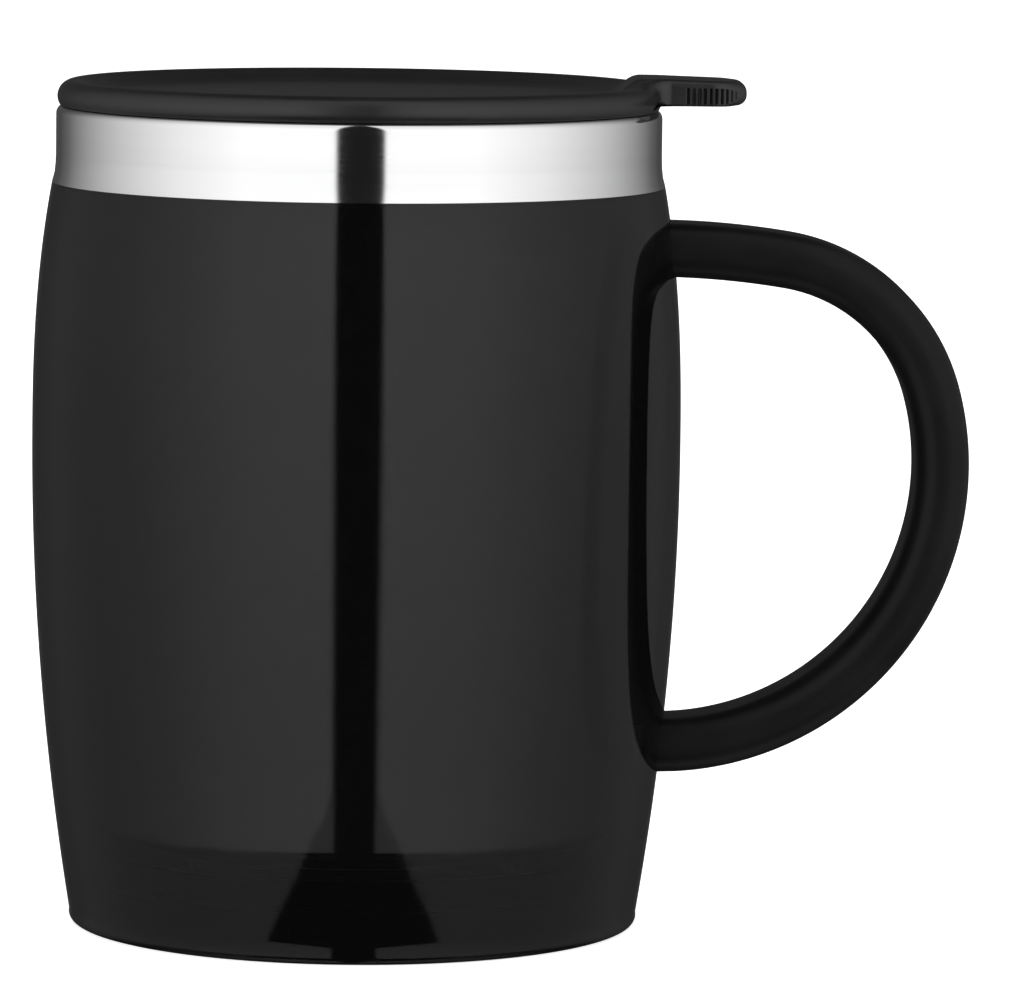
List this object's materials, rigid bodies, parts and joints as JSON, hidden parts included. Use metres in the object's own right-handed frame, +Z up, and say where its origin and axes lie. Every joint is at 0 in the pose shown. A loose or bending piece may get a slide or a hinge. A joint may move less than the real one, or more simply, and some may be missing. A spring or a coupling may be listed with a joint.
{
  "type": "insulated desk mug",
  "caption": "Barrel-shaped insulated desk mug with a steel cup and rim, smoked plastic shell, D-shaped handle and a press-in lid with a turning sip closure and thumb tab.",
  "frame": {"origin": "centre of the flat base, on the surface that the mug stands on, on the axis of the barrel", "axes": "+Z up along the axis of the barrel; +X from the axis towards the handle and the thumb tab; +Y completes a right-handed frame"},
  "size_m": [0.1371, 0.095, 0.1247],
  "materials": {
    "smoked_plastic": "high gloss, near-black smoke tint",
    "handle_plastic": "black, smooth satin",
    "lid_plastic": "black, fine satin grain",
    "base_plastic": "black satin",
    "clip_plastic": "grey satin",
    "polished_steel": "bright polish with a faint turned grain",
    "screw_steel": "bright zinc",
    "clear_silicone": "milky, matte",
    "grey_silicone": "grey, matte",
    "black_rubber": "black, matte",
    "foam": "pale closed-cell foam"
  },
  "bodies": {
    "mug": {"outer_shell": "smoked_plastic", "handle": "handle_plastic", "handle_screws": "screw_steel", "steel_cup": "polished_steel", "collar_seal": "clear_silicone", "base_cap": "base_plastic", "base_seal": "black_rubber", "cup_rest_pad": "foam"},
    "lid": {"lid_plug": "lid_plastic", "lid_gasket": "grey_silicone"},
    "closure": {"closure_cover": "lid_plastic", "sip_seal": "grey_silicone", "vent_seal": "grey_silicone", "pivot_ring": "grey_silicone", "pivot_clip": "clip_plastic"}
  },
  "joints": [
    {"name": "lid_lift", "type": "slide", "parent": "mug", "child": "lid", "axis": [0, 0, 1], "range_m": [0, 0.05]},
    {"name": "closure_turn", "type": "hinge", "parent": "lid", "child": "closure", "pos_m": [0, 0, 0.12], "axis": [0, 0, 1], "range_deg": [0, 60]}
  ]
}
